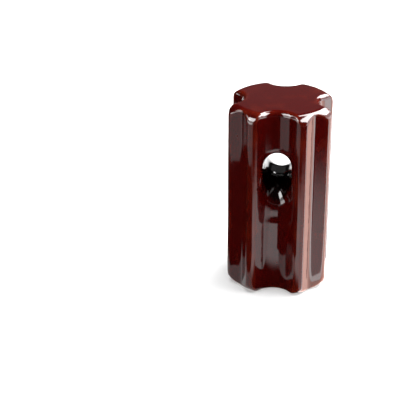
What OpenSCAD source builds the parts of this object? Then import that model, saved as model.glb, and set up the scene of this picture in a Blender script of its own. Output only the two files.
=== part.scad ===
// One-piece porcelain guy strain insulator, standing on its firing face.
// The body is a fluted column: eight ridges, four wide wire grooves and four
// narrow grooves between them.  Both ends are turned to a round shoulder, and the
// wide grooves round over into the end faces.  Two wire holes cross the column at
// right angles at different heights, and each hole runs out over a rounded saddle
// into a pair of opposite wire grooves.  A fused glaze coat covers all but the foot.
// Origin: centre of the foot.  +Z: up the column.  Millimetres.

/* [Column] */
// Overall length along the axis
column_length = 150; // [130:1:175]
// Radius over the ridges
ridge_radius = 43; // [42:0.5:44]
// Angle from the middle of a wide groove to the ridge beside it
ridge_angle = 28; // [27.5:0.5:29]
// Radius that rounds the crest of each ridge
ridge_round = 5; // [4:0.1:5]

/* [Ends] */
// Radius of the turned shoulder round each end face
shoulder_round = 10; // [6:0.5:11]
// Radius over which the wide grooves round into the end faces
groove_end_round = 4.5; // [2:0.1:5]

/* [Grooves] */
// Distance from the axis to the floor of a wide wire groove
wire_groove_floor = 29; // [28.5:0.1:30.5]
// Radius of the wide wire groove
wire_groove_round = 14; // [13:0.1:14.3]
// Distance from the axis to the floor of a narrow groove
narrow_groove_floor = 38.2; // [37.5:0.1:39]
// Radius of the narrow groove
narrow_groove_round = 8; // [7:0.1:8.5]

/* [Wire holes] */
// Radius of the straight middle of each wire hole
hole_radius = 10.8; // [9:0.1:11.5]
// Length of the straight round stretch in the middle of each hole
hole_straight = 9; // [6:0.5:12]
// Distance from the end face to the axis of the hole nearer to it
hole_from_end = 49; // [46:0.5:52]
// Radius along which the roof of a hole rises towards its mouth
roof_bend = 72; // [62:1:90]

/* [Glaze] */
// Thickness of the fused glaze coat
glaze_thickness = 0.4; // [0.3:0.05:0.45]
// Height above the foot at which the glaze stops
glaze_stop = 0.7; // [0.6:0.1:1.5]

/* [Hidden] */
groove_steps = 8;             // straight steps in a wide groove's arc
narrow_steps = 5;             // straight steps in a narrow groove's arc
ridge_steps = 4;              // straight steps in a ridge's arc
wall_steps = 2;               // straight steps between one arc and the next
shoulder_steps = 6;           // steps in the rounding of a shoulder
quarter = 90;                 // the outline repeats every quarter turn
curve_fn = 96;                // smoothness of the wire holes
blend = 0.3;                  // how much slimmer the bends are than the straight bore
saddle_tube = hole_radius - blend;
roof_tube = hole_radius - 2 * blend;
web_half_width = roof_tube - blend;
saddle_bend = wire_groove_floor - hole_straight / 2 + hole_radius;   // centre line radius
saddle_turn = 90;             // the saddle turns until it runs along the groove
roof_turn = 38;               // the roof is followed until it is outside the column
web_steps = 8;                // straight steps along each side of a hole's middle web
web_turn = 70;                // angle of the saddle up to which the web fills in
hole_reach = 2 * ridge_radius + 10;
upper_hole_z = column_length - hole_from_end;
lower_hole_z = hole_from_end;

// ---- outline: arcs of circles, each joined to the next by a common tangent ----

// Circles of one quarter as [distance from axis, angle, radius, turn, steps].
// turn is 1 on a ridge and -1 in a groove; grow moves the whole outline outwards.
function quarter_circles(start, grow) =
    let (ridge_centre = ridge_radius - ridge_round, ridge = ridge_round + grow)
    [
        [wire_groove_floor + wire_groove_round, start, wire_groove_round - grow, -1, groove_steps],
        [ridge_centre, start + ridge_angle, ridge, 1, ridge_steps],
        [narrow_groove_floor + narrow_groove_round, start + quarter / 2,
            narrow_groove_round - grow, -1, narrow_steps],
        [ridge_centre, start + quarter - ridge_angle, ridge, 1, ridge_steps]
    ];

function all_circles(grow) =
    [for (start = [0 : quarter : 359]) each quarter_circles(start, grow)];

function centre(circle) = circle[0] * [cos(circle[1]), sin(circle[1])];

// Direction of the common tangent that leaves one circle and arrives at the next.
function tangent_direction(from, to) =
    let (gap = centre(to) - centre(from))
    atan2(gap[1], gap[0]) - asin((to[3] * to[2] - from[3] * from[2]) / norm(gap));

// Point of a circle where the outline runs in the given direction.
function arc_point(circle, direction) =
    centre(circle) + circle[3] * circle[2] * [sin(direction), -cos(direction)];

function wrapped(angle) = angle - 360 * round(angle / 360);

// Points of the whole outline, moved outwards by grow.
function outline(grow) =
    let (circles = all_circles(grow), n = len(circles),
         headings = [for (i = [0 : n - 1]) tangent_direction(circles[i], circles[(i + 1) % n])])
    [for (i = [0 : n - 1])
        let (arriving = headings[(i + n - 1) % n],
             leaving = headings[i],
             turn = wrapped(leaving - arriving),
             steps = circles[i][4],
             wall_start = arc_point(circles[i], leaving),
             wall_end = arc_point(circles[(i + 1) % n], leaving))
        each concat(
            [for (k = [0 : steps]) arc_point(circles[i], arriving + turn * k / steps)],
            [for (k = [1 : wall_steps - 1]) wall_start + (wall_end - wall_start) * k / wall_steps])];

// ---- column: the outline carried up between two turned shoulders ----

// A level of the column is [skin, z, shoulder radius, wide groove radius].  It lies
// under a skin, at an angle of the shoulder that runs from the end face (0) to the
// side (90).  up is 1 at the foot and -1 at the top.
function level(angle, skin, z_end, up) =
    let (depth = shoulder_round - (shoulder_round - skin) * cos(angle),
         rise = max(groove_end_round - depth, 0))
    [skin,
     z_end + up * depth,
     ridge_radius - shoulder_round + (shoulder_round - skin) * sin(angle),
     wire_groove_round + groove_end_round
         - sqrt(max(pow(groove_end_round - skin, 2) - pow(rise, 2), 0))];

function shoulder_levels(skin, z_end, up, first) =
    [for (k = [0 : shoulder_steps])
        level(first + (90 - first) * k / shoulder_steps, skin, z_end, up)];

function reversed(list) = [for (i = [len(list) - 1 : -1 : 0]) list[i]];

// Angle of the shoulder at which the surface under a skin passes the glaze stop.
function stop_angle(skin) = acos((shoulder_round - glaze_stop) / (shoulder_round - skin));

// Levels from the glaze stop up to the top face, under a skin.
function levels_above_stop(skin) = concat(
    shoulder_levels(skin, 0, 1, stop_angle(skin)),
    reversed(shoulder_levels(skin, column_length, -1, 0)));

// Levels of the bare foot, from the bottom face up to the glaze stop.
foot_levels = [for (share = [0, 0.5, 1]) level(share * stop_angle(0), 0, 0, 1)];

// Distance from the axis to a wide groove of some radius, in a direction that is
// turned away from the groove's middle.  It is never more than the ridge radius.
function groove_edge(turn, radius) =
    let (far = wire_groove_floor + wire_groove_round, miss = far * sin(turn))
    abs(miss) < radius ? far * cos(turn) - sqrt(pow(radius, 2) - pow(miss, 2)) : ridge_radius;

// The outline at a level: its points are drawn in to the shoulder and to the
// wide grooves, which widen towards the end faces.
function ring(level) =
    [for (p = outline(-level[0]))
        let (angle = atan2(p[1], p[0]),
             turn = angle - quarter * round(angle / quarter),
             radius = min(norm(p), level[2], groove_edge(turn, level[3])))
        [radius * cos(angle), radius * sin(angle), level[1]]];

// A closed solid through a stack of levels, with a fan of triangles on each end.
module ring_stack(levels) {
    rings = [for (level = levels) ring(level)];
    n = len(rings[0]);
    last = len(rings) - 1;
    bottom = n * len(rings);
    top = bottom + 1;
    side = [for (j = [0 : last - 1], i = [0 : n - 1])
        let (a = j * n + i, b = j * n + (i + 1) % n)
        each [[a, a + n, b], [b, a + n, b + n]]];
    bottom_fan = [for (i = [0 : n - 1]) [bottom, i, (i + 1) % n]];
    top_fan = [for (i = [0 : n - 1]) [top, last * n + (i + 1) % n, last * n + i]];
    polyhedron(
        points = concat([for (r = rings) each r], [[0, 0, levels[0][1]], [0, 0, levels[last][1]]]),
        faces = concat(side, bottom_fan, top_fan),
        convexity = 10);
}

// ---- wire holes ----

// Puts its children at both wire holes: the upper hole runs along Y, and the
// lower one runs along X and is upside down.
module at_wire_holes() {
    translate([0, 0, upper_hole_z])
        children();
    translate([0, 0, lower_hole_z])
        rotate([180, 0, 90])
            children();
}

// The straight bore of a wire hole.
module straight_bore(tube) {
    rotate([90, 0, 0])
        cylinder(r = tube, h = hole_reach, center = true, $fn = curve_fn);
}

// A pipe bend at both ends of the straight stretch, turning towards +Z or -Z.
module pipe_bends(tube, bend, turn, up) {
    for (side = [0, 180])
        rotate([0, 0, side])
            translate([0, hole_straight / 2, up ? bend : -bend])
                rotate([0, 90, 0])
                    rotate([0, 0, up ? 0 : 180 - turn])
                        rotate_extrude(angle = turn, $fn = 2 * curve_fn)
                            translate([bend, 0])
                                circle(r = tube, $fn = curve_fn);
}

// Points [y, z] along the centre line of a bend, turning towards +Z or -Z.
function bend_line(bend, turn, up) =
    [for (k = [0 : web_steps])
        let (angle = turn * k / web_steps)
        [hole_straight / 2 + bend * sin(angle), (up ? 1 : -1) * bend * (1 - cos(angle))]];

// The flat-sided web of a wire hole, between the roof's and the saddle's centre lines.
module web(half_width) {
    for (side = [0, 180])
        rotate([0, 0, side])
            rotate([90, 0, 90])
                linear_extrude(height = 2 * half_width, center = true)
                    polygon(concat(bend_line(roof_bend, roof_turn, true),
                                   reversed(bend_line(saddle_bend, web_turn, false))));
}

// Cuts both wire holes through its children, widened by skin: the straight
// bores first, then the saddles, the rising roofs and the web between them.
module cut_wire_holes(skin) {
    difference() {
        difference() {
            difference() {
                difference() {
                    children();
                    at_wire_holes()
                        straight_bore(hole_radius + skin);
                }
                at_wire_holes()
                    pipe_bends(saddle_tube + skin, saddle_bend, saddle_turn, false);
            }
            at_wire_holes()
                pipe_bends(roof_tube + skin, roof_bend, roof_turn, true);
        }
        at_wire_holes()
            web(web_half_width + skin);
    }
}

// ---- sub-parts ----

module porcelain_body() {
    color("#b9aea0")
        cut_wire_holes(glaze_thickness)
            ring_stack(concat(foot_levels, levels_above_stop(glaze_thickness)));
}

module glaze_coat() {
    color("#4a0d0a")
        cut_wire_holes(0)
            difference() {
                ring_stack(levels_above_stop(0));
                porcelain_body();
            }
}

porcelain_body();
glaze_coat();
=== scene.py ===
"""Looks of a glazed porcelain guy strain insulator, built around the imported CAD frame.

The glaze and the porcelain are meshed from one implicit shape: the fluted column with its
rounded ends, less two wire holes with rounded mouths.  Lengths in the shape are millimetres,
and they become metres when a mesh is made.
"""
import math

import bpy
import numpy as np
from mathutils import Matrix, Vector


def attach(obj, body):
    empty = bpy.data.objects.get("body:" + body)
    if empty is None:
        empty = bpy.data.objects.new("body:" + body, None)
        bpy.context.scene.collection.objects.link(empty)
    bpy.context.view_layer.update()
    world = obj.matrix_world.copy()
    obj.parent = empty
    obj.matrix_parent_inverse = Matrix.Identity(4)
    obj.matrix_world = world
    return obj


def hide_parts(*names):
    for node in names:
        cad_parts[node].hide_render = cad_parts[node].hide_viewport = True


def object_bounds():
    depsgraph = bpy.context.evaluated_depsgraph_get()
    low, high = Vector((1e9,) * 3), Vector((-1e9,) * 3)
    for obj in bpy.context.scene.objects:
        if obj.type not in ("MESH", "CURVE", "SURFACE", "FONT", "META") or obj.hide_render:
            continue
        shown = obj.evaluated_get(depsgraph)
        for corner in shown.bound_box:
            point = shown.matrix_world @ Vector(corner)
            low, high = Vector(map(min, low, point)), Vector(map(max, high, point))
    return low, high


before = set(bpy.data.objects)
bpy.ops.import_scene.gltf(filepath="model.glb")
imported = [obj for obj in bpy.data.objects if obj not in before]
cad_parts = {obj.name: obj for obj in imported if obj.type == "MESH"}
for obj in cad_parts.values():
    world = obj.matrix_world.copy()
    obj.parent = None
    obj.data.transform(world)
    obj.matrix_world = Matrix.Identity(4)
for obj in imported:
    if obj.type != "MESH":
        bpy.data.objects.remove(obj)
cad_low, cad_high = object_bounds()

MM = 0.001

# ---------------------------------------------------------------- dimensions, in millimetres

LENGTH = (cad_high.z - cad_low.z) / MM
RIDGE_ANGLE = math.radians(28)       # from the middle of a wide groove to the ridge beside it
RIDGE_ROUND = 5.0
RIDGE_CENTRE = 38.0                  # distance from the axis to the middle of a ridge's rounding
SHOULDER = 10.0                      # radius of the turned shoulder round each end
GROOVE_END_ROUND = 4.5               # rounding where a wide groove runs out into an end face
RIM_ROUND = 1.2                      # rounding where a ridge or a narrow groove does
RIM_BLEND = 1.2                      # softness of the line where the shoulder cuts the flutes
CROWN = 0.4                          # how far the top face falls from its middle to its shoulder
GROOVE_FLOOR = 29.0                  # wide wire groove: floor distance and radius
GROOVE_ROUND = 14.0
NARROW_FLOOR = 38.2                  # narrow groove: floor distance and radius
NARROW_ROUND = 8.0
# softening its line with the ridges takes a little off the turned shape, so it starts larger
TURNED_RADIUS = RIDGE_CENTRE + RIDGE_ROUND + RIM_BLEND / 4
GROOVE_EDGE = 0.4                    # share of the ridge angle over which the end roundings blend

HOLE_RADIUS = 10.8
HOLE_STRAIGHT = 9.0                  # length of the straight middle of a wire hole
HOLE_FROM_END = 49.0
SADDLE_BEND = GROOVE_FLOOR - HOLE_STRAIGHT / 2 + HOLE_RADIUS
ROOF_BEND = 72.0
MOUTH_ROUND = 3.0                    # rounding between a hole and its groove

GLAZE = 0.4                          # thickness of the glaze coat
GLAZE_STOP = 0.7                     # height of the glaze's lower edge above the foot
CORE_GAP = 0.05                      # room between the glaze and the porcelain under it
HOLE_SHADE_START = 0.3                     # how far outside a groove's floor the painted shade inside a hole starts
HOLE_SHADE_DEPTH = 4.0                     # depth into a hole over which the painted shade darkens to full
WAVE = 0.07                          # height of the slow waves that pressing leaves
WAVE_FADE = 6.0                      # height above the foot at which they are full
GRID = 1.22                          # spacing of the mesh of the glaze
CORE_GRID = 1.6                      # spacing of the mesh of the porcelain, which is mostly hidden
MARGIN = 3.0                         # room left round the shape in the sampling grid

SMOOTH_ROUNDS = 4                    # rounds that even out a mesh's spacing
FIRM_ROUNDS = 2                      # rounds after them that only move points onto the surface
SMOOTH_PULL = 0.6                    # how far a point moves towards its neighbours' middle
LEAST_SLOPE = 0.2                    # smallest squared slope that a step divides by
RIM_STEPS = 8                        # steps in which the glaze's open edge is moved down
LEAST_RISE = 0.05                    # smallest rise along the surface that such a step divides by


# ---------------------------------------------------------------- the shape

def polar(distance, angle):
    return np.array([distance * math.cos(angle), distance * math.sin(angle)])


def common_tangent(start, start_turn, end, end_turn):
    """Where the tangent leaves one circle and meets the next, and its direction.

    A turn is the circle's radius, positive on a ridge and negative in a groove.
    """
    gap = end - start
    lean = math.asin((end_turn - start_turn) / np.hypot(*gap))
    heading = math.atan2(gap[1], gap[0]) - lean
    along = np.array([math.cos(heading), math.sin(heading)])
    left = np.array([-along[1], along[0]])
    return start - start_turn * left, end - end_turn * left, along


WIDE = polar(GROOVE_FLOOR + GROOVE_ROUND, 0)
RIDGE = polar(RIDGE_CENTRE, RIDGE_ANGLE)
NARROW = polar(NARROW_FLOOR + NARROW_ROUND, math.pi / 4)
WALL_START, WALL_END, WALL_ALONG = common_tangent(WIDE, -GROOVE_ROUND, RIDGE, RIDGE_ROUND)
BACK_START, BACK_END, BACK_ALONG = common_tangent(RIDGE, RIDGE_ROUND, NARROW, -NARROW_ROUND)


def folded_angle(x, y):
    """Angle from the middle of the nearest wide groove, from 0 to an eighth of a turn."""
    angle = np.mod(np.arctan2(y, x), math.pi / 2)
    return np.minimum(angle, math.pi / 2 - angle)


def outline_distance(x, y):
    """Signed distance to the column's outline, negative inside."""
    angle = folded_angle(x, y)
    radius = np.hypot(x, y)
    px, py = radius * np.cos(angle), radius * np.sin(angle)

    def along(point, direction):
        return (px - point[0]) * direction[0] + (py - point[1]) * direction[1]

    def outward(point, direction):
        return (px - point[0]) * direction[1] - (py - point[1]) * direction[0]

    def reach(centre):
        return np.hypot(px - centre[0], py - centre[1])

    groove_side = np.where(along(WALL_START, WALL_ALONG) < 0,
                           GROOVE_ROUND - reach(WIDE), outward(WALL_START, WALL_ALONG))
    narrow_side = np.where(along(BACK_END, BACK_ALONG) > 0,
                           NARROW_ROUND - reach(NARROW), outward(BACK_START, BACK_ALONG))
    on_ridge = (along(WALL_END, WALL_ALONG) > 0) & (along(BACK_START, BACK_ALONG) < 0)
    return np.where(on_ridge, reach(RIDGE) - RIDGE_ROUND, np.maximum(groove_side, narrow_side))


def rounded_both(a, b, radius):
    """Distance to the part inside both shapes, with the edge between them rounded."""
    a, b = a + radius, b + radius
    return np.minimum(np.maximum(a, b), 0) + np.hypot(np.maximum(a, 0), np.maximum(b, 0)) - radius


def blended_both(a, b, reach):
    """Distance to the part inside both shapes, with the line between them softened."""
    near = np.maximum(reach - np.abs(a - b), 0)
    return np.maximum(a, b) + near ** 2 / (4 * reach)


def smooth_step(share):
    share = np.clip(share, 0, 1)
    return share ** 2 * (3 - 2 * share)


def column_distance(x, y, z):
    radius = np.hypot(x, y)
    crown = np.where(z > LENGTH / 2, CROWN * (radius / (TURNED_RADIUS - SHOULDER)) ** 2, 0)
    # where both shapes below share an end face, softening their line takes RIM_BLEND / 4 off it
    past_end = np.abs(z - LENGTH / 2) - LENGTH / 2 + crown - RIM_BLEND / 4
    outline = outline_distance(x, y)
    over_rim = rounded_both(outline, past_end, RIM_ROUND)
    over_groove_end = rounded_both(outline, past_end, GROOVE_END_ROUND)
    in_groove = smooth_step((RIDGE_ANGLE - folded_angle(x, y)) / (GROOVE_EDGE * RIDGE_ANGLE))
    fluted = over_rim + (over_groove_end - over_rim) * in_groove
    turned = rounded_both(radius - TURNED_RADIUS, past_end, SHOULDER)
    return blended_both(fluted, turned, RIM_BLEND)


def hole_distance(across, along, up):
    """Signed distance to a wire hole that runs along one axis and whose saddles turn down.

    The hole is everything within its radius of a flat web, which lies between the centre
    lines of the roof and of the saddle.
    """
    out = np.abs(along) - HOLE_STRAIGHT / 2
    end_up = -SADDLE_BEND
    from_saddle = SADDLE_BEND - np.hypot(out, up - end_up)
    past_end = np.hypot(np.minimum(out - SADDLE_BEND, 0), up - end_up)
    from_saddle = np.where(up < end_up, past_end, from_saddle)
    from_roof = ROOF_BEND - np.hypot(out, up - ROOF_BEND)
    in_bends = np.maximum(np.maximum(from_saddle, from_roof), 0)
    from_web = np.where(out < 0, np.abs(up), in_bends)
    return np.hypot(across, from_web) - HOLE_RADIUS


def waves(x, y, z):
    """Slow, slight waves over the surface, as pressed and dried clay has.

    They fade out towards the foot, which is flat.  Each divisor is a wave's length in
    millimetres per radian.
    """
    height = WAVE * smooth_step(z / WAVE_FADE)
    return height * (np.sin(x / 9 + z / 23) * np.cos(y / 11 - z / 31)
                     + 0.6 * np.sin(z / 8.5 + x / 17) * np.sin(y / 7.5 + z / 41))


def insulator_distance(points):
    x, y, z = points[..., 0], points[..., 1], points[..., 2]
    upper = hole_distance(x, y, z - (LENGTH - HOLE_FROM_END))
    lower = hole_distance(y, x, HOLE_FROM_END - z)
    body = rounded_both(column_distance(x, y, z), -upper, MOUTH_ROUND)
    return rounded_both(body, -lower, MOUTH_ROUND) + waves(x, y, z)


# ---------------------------------------------------------------- the mesh

def gradient(distance, points, step=0.02):
    """Numerical gradient of a distance function at every point."""
    shifts = np.eye(3) * step
    rises = [distance(points + shift) - distance(points - shift) for shift in shifts]
    return np.stack([rise / (2 * step) for rise in rises], -1)


def surface_nets(distance, low, high, spacing):
    """Quads on the zero level of a distance function, by the surface nets method."""
    axes = [np.arange(a, b + spacing, spacing) for a, b in zip(low, high)]
    grid = np.stack(np.meshgrid(*axes, indexing="ij"), -1)
    value = distance(grid)
    cells = tuple(n - 1 for n in value.shape)
    total = np.zeros(cells + (3,))
    count = np.zeros(cells)
    crossings = []
    for axis in range(3):
        first = [slice(None)] * 3
        second = [slice(None)] * 3
        first[axis], second[axis] = slice(None, -1), slice(1, None)
        a, b = value[tuple(first)], value[tuple(second)]
        i, j, k = np.nonzero((a < 0) != (b < 0))
        share = a[i, j, k] / (a[i, j, k] - b[i, j, k])
        spot = grid[i, j, k].copy()
        spot[:, axis] += share * spacing
        corner = np.stack([i, j, k], -1)
        across, beside = (axis + 1) % 3, (axis + 2) % 3
        inward = a[i, j, k] < 0
        around = []
        for da, db in ((0, 0), (1, 0), (1, 1), (0, 1)):
            cell = corner.copy()
            cell[:, across] -= da
            cell[:, beside] -= db
            around.append(cell)
            np.add.at(total, tuple(cell.T), spot)
            np.add.at(count, tuple(cell.T), 1)
        crossings.append((np.stack(around, 1), inward))
    used = count > 0
    number = np.full(cells, -1)
    number[used] = np.arange(used.sum())
    points = total[used] / count[used][:, None]
    quads = []
    for around, inward in crossings:
        quad = number[tuple(np.moveaxis(around, -1, 0))]
        quads.append(np.where(inward[:, None], quad, quad[:, ::-1]))
    return points, np.concatenate(quads)


def settle(distance, points, quads):
    """Evens out a mesh's spacing and brings its points exactly onto the surface."""
    edges = np.concatenate([quads[:, [a, (a + 1) % 4]] for a in range(4)])
    degree = np.bincount(edges.ravel(), minlength=len(points))[:, None]
    for turn in range(SMOOTH_ROUNDS + FIRM_ROUNDS):
        if turn < SMOOTH_ROUNDS:
            total = np.zeros_like(points)
            np.add.at(total, edges[:, 0], points[edges[:, 1]])
            np.add.at(total, edges[:, 1], points[edges[:, 0]])
            points = (1 - SMOOTH_PULL) * points + SMOOTH_PULL * total / degree
        slope = gradient(distance, points)
        size = np.maximum((slope ** 2).sum(-1), LEAST_SLOPE)
        points = points - (distance(points) / size)[:, None] * slope
    return points


def unit(vectors):
    return vectors / np.linalg.norm(vectors, axis=-1, keepdims=True)


def bend(distance, points, reach=1.6):
    """How convex the surface is at every point, positive on ridges, and its normals."""
    normal = unit(gradient(distance, points))
    around = np.zeros(len(points))
    for shift in np.eye(3) * reach:
        around += (unit(gradient(distance, points + shift)) * shift).sum(-1)
        around -= (unit(gradient(distance, points - shift)) * shift).sum(-1)
    return around / (2 * reach ** 2), normal


def make_piece(name, points, faces, normals, material):
    """An object in metres, shaded by its exact normals."""
    mesh = bpy.data.meshes.new(name)
    mesh.from_pydata((points * MM).tolist(), [], faces.tolist())
    mesh.update()
    mesh.shade_smooth()
    mesh.normals_split_custom_set_from_vertices(normals.tolist())
    mesh.materials.append(material)
    piece = bpy.data.objects.new(name, mesh)
    bpy.context.scene.collection.objects.link(piece)
    return piece


def add_attribute(piece, name, values):
    attribute = piece.data.attributes.new(name, "FLOAT", "POINT")
    attribute.data.foreach_set("value", values.astype(np.float32))


def grid_room():
    side = RIDGE_CENTRE + RIDGE_ROUND + MARGIN
    return (-side, -side, -MARGIN), (side, side, LENGTH + MARGIN)


def cut_above(points, quads, height):
    """Drops every quad that reaches below a height, which leaves a stepped open edge."""
    keep = points[:, 2] > height
    quads = quads[keep[quads].all(1)]
    used = np.unique(quads)
    renumber = np.full(len(points), -1)
    renumber[used] = np.arange(len(used))
    return points[used], renumber[quads]


def rim_edges(quads):
    """Directed edges that have a face on one side only."""
    edges = np.concatenate([quads[:, [a, (a + 1) % 4]] for a in range(4)])
    key = edges[:, 0] * (edges.max() + 1) + edges[:, 1]
    back = edges[:, 1] * (edges.max() + 1) + edges[:, 0]
    return edges[~np.isin(key, back)]


def lower_rim(points, quads, height):
    """Moves the open edge's points down their own surface to an exact height."""
    rim = np.unique(rim_edges(quads))
    for _ in range(RIM_STEPS):
        spot = points[rim]
        slope = gradient(insulator_distance, spot)
        along_surface = np.stack([-slope[:, 0] * slope[:, 2], -slope[:, 1] * slope[:, 2],
                                  slope[:, 0] ** 2 + slope[:, 1] ** 2], -1)
        steps = (height - spot[:, 2]) / np.maximum(along_surface[:, 2], LEAST_RISE)
        spot = spot + along_surface * steps[:, None]
        slope = gradient(insulator_distance, spot)
        spot = spot - insulator_distance(spot)[:, None] * slope
        points[rim] = spot
    points[rim, 2] = height
    return points


def glaze_piece(material):
    """The glaze: a closed skin of even thickness that stops just above the foot."""
    low, high = grid_room()
    points, quads = surface_nets(insulator_distance, low, high, GRID)
    points = settle(insulator_distance, points, quads)
    points, quads = cut_above(points, quads, GLAZE_STOP)
    points = lower_rim(points, quads, GLAZE_STOP)
    convex, normals = bend(insulator_distance, points)
    inner = points - normals * GLAZE
    rim = rim_edges(quads)
    rim_points = np.unique(rim)
    sideways = normals[rim_points] * (1, 1, 0)
    inner[rim_points] = points[rim_points] - unit(sideways) * GLAZE
    n = len(points)
    wall = np.stack([rim[:, 1], rim[:, 0], rim[:, 0] + n, rim[:, 1] + n], -1)
    faces = np.concatenate([quads, quads[:, ::-1] + n, wall])
    piece = make_piece("glaze_coat_skin", np.concatenate([points, inner]), faces,
                       np.concatenate([normals, -normals]), material)
    add_attribute(piece, "convex", np.concatenate([convex, convex]))
    # painted shade: a share that darkens the glaze inside the wire holes, but not on the end faces
    radius = np.hypot(points[:, 0], points[:, 1])
    on_end = np.abs(points[:, 2] - LENGTH / 2) > LENGTH / 2 - GROOVE_END_ROUND
    inside = np.where(on_end, 0, smooth_step((GROOVE_FLOOR + HOLE_SHADE_START - radius) / HOLE_SHADE_DEPTH))
    add_attribute(piece, "painted_hole_shade", np.concatenate([inside, inside]))
    return piece


def core_distance(points):
    """The porcelain: the whole shape at the foot, and just under the glaze above it."""
    rise = np.clip((points[..., 2] - GLAZE_STOP) / CORE_GRID, 0, 1)
    return insulator_distance(points) + (GLAZE + CORE_GAP) * rise


def porcelain_piece(material):
    low, high = grid_room()
    points, quads = surface_nets(core_distance, low, high, CORE_GRID)
    points = settle(core_distance, points, quads)
    _, normals = bend(core_distance, points)
    return make_piece("porcelain_core", points, quads, normals, material)


# ---------------------------------------------------------------- materials

def new_material(name):
    material = bpy.data.materials.new(name)
    material.use_nodes = True
    tree = material.node_tree
    return material, tree, tree.nodes["Principled BSDF"]


def add_node(tree, kind, **values):
    """A shader node with its sockets (by name) and properties set."""
    node = tree.nodes.new(kind)
    for key, value in values.items():
        if key in node.inputs:
            node.inputs[key].default_value = value
        else:
            setattr(node, key, value)
    return node


def mapped(tree, source, low, high, smooth=False):
    """A value stretched so that low becomes 0 and high becomes 1."""
    node = add_node(tree, "ShaderNodeMapRange")
    node.interpolation_type = "SMOOTHSTEP" if smooth else "LINEAR"
    node.inputs["From Min"].default_value = low
    node.inputs["From Max"].default_value = high
    tree.links.new(source, node.inputs["Value"])
    return node.outputs["Result"]


def blended(tree, share, first, second):
    """A colour mix; first is a socket or a colour, and second is a colour."""
    mix = add_node(tree, "ShaderNodeMix", data_type="RGBA")
    tree.links.new(share, mix.inputs["Factor"])
    if isinstance(first, tuple):
        mix.inputs["A"].default_value = first
    else:
        tree.links.new(first, mix.inputs["A"])
    mix.inputs["B"].default_value = second
    return mix.outputs["Result"]


def calculated(tree, operation, first, second):
    """Arithmetic on a socket and another socket or a number."""
    node = add_node(tree, "ShaderNodeMath", operation=operation)
    tree.links.new(first, node.inputs[0])
    if isinstance(second, (int, float)):
        node.inputs[1].default_value = second
    else:
        tree.links.new(second, node.inputs[1])
    return node.outputs["Value"]


def noise(tree, place, scale, detail):
    node = add_node(tree, "ShaderNodeTexNoise", Scale=scale, Detail=detail)
    tree.links.new(place, node.inputs["Vector"])
    return node.outputs["Fac"]


# Colours of the glaze: where it is deep, where it thins on ridges and rims and takes painted light
# there, painted shade inside the wire holes, and in a pit.
DEEP_GLAZE = (0.042, 0.0006, 0.0004, 1)
# ridges and rims: partly real thinning of the glaze, partly painted light where the rims are lit
THIN_LIT_GLAZE = (0.12, 0.011, 0.0035, 1)
# painted shade: near-black glaze colour inside the wire holes
PAINTED_HOLE_SHADE = (0.003, 0.0002, 0.0002, 1)
PALE_PIT = (0.3, 0.2, 0.15, 1)

# Colours of the bare porcelain.
PALE_BUFF = (0.6, 0.53, 0.44, 1)
DARK_BUFF = (0.48, 0.41, 0.33, 1)
SPECK = (0.25, 0.17, 0.12, 1)

# Scales of the glaze's patterns, in features per metre.
CLOUDS = 70
SMEARS = 38
PEEL = 160
PIT_CELLS = 260

# Scales of the porcelain's patterns, in features per metre.
PATCHES = 60
SPECKS = 1400
GRAIN = 400
GRIT = 900

GLAZE_IOR = 1.55
GLAZE_ROUGHNESS = 0.045
SMEAR_ROUGHNESS = 0.05               # added where the gloss is dullest
PIT_ROUGHNESS = 0.3                  # added in a pit
CLOUD_SHARE = 0.8                    # how strongly the clouds change the glaze's depth
THIN_LIT_RANGE = (0.41, 1.1)             # convexity and clouds at which it is deep, and at which it is thin with painted light on lit rims
SMEAR_RANGE = (0.35, 0.75)
PIT_CHOICE = (0.84, 0.85)            # only cells with a random value above this have a pit
PIT_EDGE = (0.09, 0.03)              # outer and inner edge of a pit, as shares of its cell
PIT_PALENESS = 0.5
PIT_HEIGHT = -0.6                    # as a share of the orange peel's height
PEEL_STRENGTH = 0.35
PEEL_HEIGHT = 0.0002                 # metres

PATCH_RANGE = (0.3, 0.7)
SPECK_RANGE = (0.66, 0.72)           # only the highest noise makes a speck
GRAIN_RANGE = (-2.2, 1.2)            # so wide that the roughness stays near 0.7 to 0.9
GRIT_STRENGTH = 0.6
GRIT_HEIGHT = 0.0003                 # metres


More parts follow.
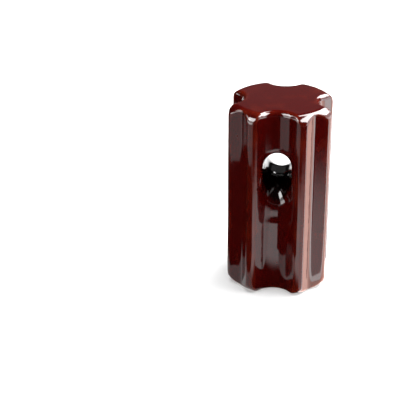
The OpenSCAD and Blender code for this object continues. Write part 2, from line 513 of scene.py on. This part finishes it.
def glaze_material():
    """Deep maroon glaze: redder on ridges and rims, where it thins and where painted light marks
    the lit rims; near black inside the wire holes as painted shade; with a slight orange peel and
    a few pinholes."""
    material, tree, shader = new_material("brown_glaze")
    link = tree.links.new
    place = add_node(tree, "ShaderNodeTexCoord").outputs["Object"]
    shader.inputs["IOR"].default_value = GLAZE_IOR

    convex = add_node(tree, "ShaderNodeAttribute", attribute_name="convex").outputs["Fac"]
    inside = add_node(tree, "ShaderNodeAttribute", attribute_name="painted_hole_shade").outputs["Fac"]
    cloud = calculated(tree, "MULTIPLY", noise(tree, place, CLOUDS, 3), CLOUD_SHARE)
    # ridges and rims turn redder: partly thinning glaze, partly painted light on the lit rims
    thin_and_lit = mapped(tree, calculated(tree, "ADD", convex, cloud), *THIN_LIT_RANGE)
    color = blended(tree, thin_and_lit, DEEP_GLAZE, THIN_LIT_GLAZE)
    # painted shade: near black inside the wire holes
    color = blended(tree, inside, color, PAINTED_HOLE_SHADE)

    # pinholes: rare, round, slightly paler pits about half a millimetre across
    cells = add_node(tree, "ShaderNodeTexVoronoi", Scale=PIT_CELLS)
    link(place, cells.inputs["Vector"])
    rare = mapped(tree, cells.outputs["Color"], *PIT_CHOICE)
    pit = calculated(tree, "MULTIPLY", mapped(tree, cells.outputs["Distance"], *PIT_EDGE), rare)
    color = blended(tree, calculated(tree, "MULTIPLY", pit, PIT_PALENESS), color, PALE_PIT)
    link(color, shader.inputs["Base Color"])

    # the gloss is a little duller in patches and in the pits
    smear = mapped(tree, noise(tree, place, SMEARS, 4), *SMEAR_RANGE)
    dull = calculated(tree, "ADD", calculated(tree, "MULTIPLY", smear, SMEAR_ROUGHNESS),
                      calculated(tree, "MULTIPLY", pit, PIT_ROUGHNESS))
    link(calculated(tree, "ADD", dull, GLAZE_ROUGHNESS), shader.inputs["Roughness"])

    peel = calculated(tree, "ADD", noise(tree, place, PEEL, 2),
                      calculated(tree, "MULTIPLY", pit, PIT_HEIGHT))
    bump = add_node(tree, "ShaderNodeBump", Strength=PEEL_STRENGTH, Distance=PEEL_HEIGHT)
    link(peel, bump.inputs["Height"])
    link(bump.outputs["Normal"], shader.inputs["Normal"])
    return material


def porcelain_material():
    """Bare fired porcelain: matte, buff, finely speckled and a little gritty."""
    material, tree, shader = new_material("bare_porcelain")
    link = tree.links.new
    place = add_node(tree, "ShaderNodeTexCoord").outputs["Object"]
    patches = mapped(tree, noise(tree, place, PATCHES, 4), *PATCH_RANGE)
    color = blended(tree, patches, PALE_BUFF, DARK_BUFF)
    specks = mapped(tree, noise(tree, place, SPECKS, 2), *SPECK_RANGE)
    color = blended(tree, specks, color, SPECK)
    link(color, shader.inputs["Base Color"])
    grain = mapped(tree, noise(tree, place, GRAIN, 2), *GRAIN_RANGE)
    link(grain, shader.inputs["Roughness"])
    bump = add_node(tree, "ShaderNodeBump", Strength=GRIT_STRENGTH, Distance=GRIT_HEIGHT)
    link(noise(tree, place, GRIT, 4), bump.inputs["Height"])
    link(bump.outputs["Normal"], shader.inputs["Normal"])
    return material


# ---------------------------------------------------------------- stage

# The camera looks down at the insulator's front wire groove.
CAMERA_LENS = 102.5
CAMERA_SENSOR = 36
CAMERA_TURN = 7.45                   # degrees round the column, from straight in front
CAMERA_DROP = 26.36                  # degrees below level
CAMERA_ROLL = -0.2
CAMERA_PLACE = (-0.0542, -0.845, 0.4744)

LIGHT_CENTRE = Vector((0, 0, 0.075))
LIGHT_DISTANCE = 1.5

FLOOR_REACH = 12.0
FLOOR_SHADE = (0.6, 0.6, 0.6, 1)
FLOOR_GLOW = 0.35
FAINT_GLOW = 0.02                    # the world's brightness for all but the camera
WHITE = (1, 1, 1, 1)
BLACK = (0, 0, 0, 1)

DARK = 0.01                          # radiance of the dark cards
CARD_STEP = 5                        # degrees from one corner of a card's arc to the next
AT_APEX = (0.001, 0.002)             # near fade of a card that starts at its apex
FAR_AWAY = (2.5, 2.6)                # far fade of a card that runs out of sight

# The dark block's two ends, half its width and its height.
FLAG_NEAR = Vector((-0.045, -0.118, 0))
FLAG_FAR = Vector((-0.135, 0.008, 0))
FLAG_HALF_WIDTH = 0.036
FLAG_HEIGHT = 0.062


def put(name, data):
    thing = bpy.data.objects.new(name, data)
    bpy.context.scene.collection.objects.link(thing)
    return thing


def make_camera():
    data = bpy.data.cameras.new("camera")
    data.lens = CAMERA_LENS
    data.sensor_width = CAMERA_SENSOR
    camera = put("camera", data)
    turn = Matrix.Rotation(math.radians(CAMERA_TURN), 4, "Z")
    pitch = Matrix.Rotation(math.radians(90 - CAMERA_DROP), 4, "X")
    roll = Matrix.Rotation(math.radians(CAMERA_ROLL), 4, "Z")
    camera.matrix_world = turn @ Matrix.Translation(CAMERA_PLACE) @ pitch @ roll
    bpy.context.scene.camera = camera


def direction(azimuth, elevation):
    """Unit vector for a compass-like azimuth, where 0 is +Y, 90 is +X and 180 is -Y."""
    azimuth, elevation = math.radians(azimuth), math.radians(elevation)
    level = math.cos(elevation)
    return Vector((math.sin(azimuth) * level, math.cos(azimuth) * level, math.sin(elevation)))


def softbox(name, azimuth, elevation, width, height, radiance):
    """A soft light that faces the insulator; its width and height are angles in degrees.

    The camera doesn't see it, but the glaze mirrors it.
    """
    data = bpy.data.lights.new(name, "AREA")
    data.shape = "RECTANGLE"
    data.size = 2 * LIGHT_DISTANCE * math.tan(math.radians(width) / 2)
    data.size_y = 2 * LIGHT_DISTANCE * math.tan(math.radians(height) / 2)
    data.energy = radiance * math.pi * data.size * data.size_y
    light = put(name, data)
    away = direction(azimuth, elevation)
    light.location = LIGHT_CENTRE + away * LIGHT_DISTANCE
    light.rotation_mode = "QUATERNION"
    light.rotation_quaternion = away.to_track_quat("Z", "Y")
    light.visible_camera = False
    return light


def make_floor():
    mesh = bpy.data.meshes.new("floor")
    corners = [(x * FLOOR_REACH, y * FLOOR_REACH, 0) for x, y in ((-1, -1), (1, -1), (1, 1), (-1, 1))]
    mesh.from_pydata(corners, [], [(0, 1, 2, 3)])
    floor = put("floor", mesh)
    material, _, shader = new_material("pale_floor")
    shader.inputs["Base Color"].default_value = FLOOR_SHADE
    shader.inputs["Roughness"].default_value = 0.9
    shader.inputs["Emission Color"].default_value = WHITE
    shader.inputs["Emission Strength"].default_value = FLOOR_GLOW
    mesh.materials.append(material)


def only_reflected(thing):
    """Hides a card from everything but reflections."""
    thing.visible_camera = False
    thing.visible_diffuse = False
    thing.visible_shadow = False
    thing.visible_transmission = False


def card_material(name, radiance, near_fade, far_fade, color):
    """An even glow that fades out near the object's origin and again far from it."""
    material, tree, shader = new_material(name)
    shader.inputs["Base Color"].default_value = BLACK
    shader.inputs["Specular IOR Level"].default_value = 0
    shader.inputs["Emission Color"].default_value = color
    shader.inputs["Emission Strength"].default_value = radiance
    place = add_node(tree, "ShaderNodeTexCoord")
    reach = add_node(tree, "ShaderNodeVectorMath", operation="LENGTH")
    tree.links.new(place.outputs["Object"], reach.inputs[0])
    distance = reach.outputs["Value"]
    rise = mapped(tree, distance, near_fade[0], near_fade[1], smooth=True)
    fall = mapped(tree, distance, far_fade[1], far_fade[0], smooth=True)
    tree.links.new(calculated(tree, "MULTIPLY", rise, fall), shader.inputs["Alpha"])
    return material


def floor_card(name, apex, azimuths, near_fade, far_fade, radiance, lift, color=WHITE):
    """A fan-shaped card on the floor, spread out from an apex, that only reflections see."""
    first, last = azimuths
    count = max(int(last - first) // CARD_STEP, 1)
    ring = [direction(first + (last - first) * i / count, 0) for i in range(count + 1)]
    inner = [tuple(d * near_fade[0]) for d in ring]
    outer = [tuple(d * far_fade[1]) for d in ring]
    n = len(ring)
    mesh = bpy.data.meshes.new(name)
    mesh.from_pydata(inner + outer, [], [(i, i + 1, n + i + 1, n + i) for i in range(n - 1)])
    mesh.materials.append(card_material(name, radiance, near_fade, far_fade, color))
    card = put(name, mesh)
    card.location = (*apex, lift)
    only_reflected(card)


def low_flag():
    """A dark block at the front left, about as large as a second insulator lying there."""
    along = (FLAG_FAR - FLAG_NEAR).normalized()
    side = Vector((-along.y, along.x, 0)) * FLAG_HALF_WIDTH
    foot = [FLAG_NEAR + side, FLAG_NEAR - side, FLAG_FAR - side, FLAG_FAR + side]
    points = [tuple(p) for p in foot] + [(p.x, p.y, FLAG_HEIGHT) for p in foot]
    faces = [(4, 5, 6, 7), (0, 1, 5, 4), (1, 2, 6, 5), (2, 3, 7, 6), (3, 0, 4, 7)]
    mesh = bpy.data.meshes.new("low_flag")
    mesh.from_pydata(points, [], faces)
    mesh.materials.append(card_material("low_flag", DARK, AT_APEX, FAR_AWAY, WHITE))
    flag = put("low_flag", mesh)
    only_reflected(flag)


def make_cards():
    """Cards on the floor: name, apex, azimuths, near fade, far fade, radiance, lift, colour.

    Where cards overlap, the one that is lifted higher is the one that is seen.
    """
    low_flag()
    middle, ridge = (0, 0), (0.018, -0.036)
    warm = (1, 0.66, 0.57, 1)
    nearby, across = (0.17, 0.27), (0.7, 0.8)
    floor_card("left_floor", middle, (-84, -50), AT_APEX, FAR_AWAY, DARK, 0.001)
    floor_card("far_left_floor", middle, (-165, -84), AT_APEX, FAR_AWAY, 0.7, 0.001)
    floor_card("far_right_floor", middle, (96, 195), AT_APEX, FAR_AWAY, DARK, 0.001)
    floor_card("near_right_floor", middle, (113, 150), AT_APEX, (0.15, 0.34), 1.5, 0.0012)
    floor_card("near_front_floor", middle, (150, 195), (0.055, 0.08), nearby, 1.8, 0.0012)
    floor_card("warm_floor", ridge, (44, 76), AT_APEX, across, 3.8, 0.0014, warm)
    floor_card("hot_floor", ridge, (76, 92), AT_APEX, across, 5, 0.0016)


def make_world():
    """A world that is white to the camera and almost dark to everything else."""
    world = bpy.data.worlds.new("studio")
    world.use_nodes = True
    bpy.context.scene.world = world
    tree = world.node_tree
    dim = tree.nodes["Background"]
    dim.inputs["Color"].default_value = WHITE
    dim.inputs["Strength"].default_value = FAINT_GLOW
    pale = add_node(tree, "ShaderNodeBackground", Color=WHITE)
    seen = add_node(tree, "ShaderNodeLightPath")
    mix = add_node(tree, "ShaderNodeMixShader")
    tree.links.new(seen.outputs["Is Camera Ray"], mix.inputs["Fac"])
    tree.links.new(dim.outputs["Background"], mix.inputs[1])
    tree.links.new(pale.outputs["Background"], mix.inputs[2])
    tree.links.new(mix.outputs["Shader"], tree.nodes["World Output"].inputs["Surface"])


def make_lights():
    """Windows that the glaze mirrors, and fills that brighten it without being mirrored.

    Each is a name, an azimuth, an elevation, a width and a height in degrees, and a radiance.
    The windows are dimmer between elevations of about 10 and 28, because the flat top mirrors
    that band at a grazing angle in low views.
    """
    mirrored = (
        ("back_window_low", 33, 33, 34, 12, 10),
        ("back_window_high", 33, 49, 34, 22, 13),
        ("right_window", 78, 47, 56, 38, 19),
        ("right_band", 78, 19, 56, 18, 2.4),
        ("right_low", 84, -2, 60, 22, 5),
        ("left_window", -127, 42, 40, 26, 13),
        ("left_band", -127, 20, 40, 18, 2.5),
        ("left_low", -127, 4, 40, 14, 6),
        ("left_side_window", -96, 35, 24, 14, 8),
        ("left_side_low", -96, 2, 24, 12, 6),
        ("back_wall", 2, 21, 44, 18, 0.11),
    )
    fills = (
        ("overhead", 0, 88, 60, 60, 4),
        ("back_fill", 33, 45, 40, 34, 9),
        ("right_fill", 78, 38, 56, 54, 5.5),
    )
    for window in mirrored:
        softbox(*window).visible_diffuse = False
    for fill in fills:
        softbox(*fill).visible_glossy = False


# ---------------------------------------------------------------- the scene

bpy.context.scene.view_settings.view_transform = "Standard"
make_camera()
make_floor()
make_cards()
make_world()
make_lights()

glaze = glaze_piece(glaze_material())
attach(glaze, "root")
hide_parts("glaze_coat")

porcelain = porcelain_piece(porcelain_material())
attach(porcelain, "root")
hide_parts("porcelain_body")
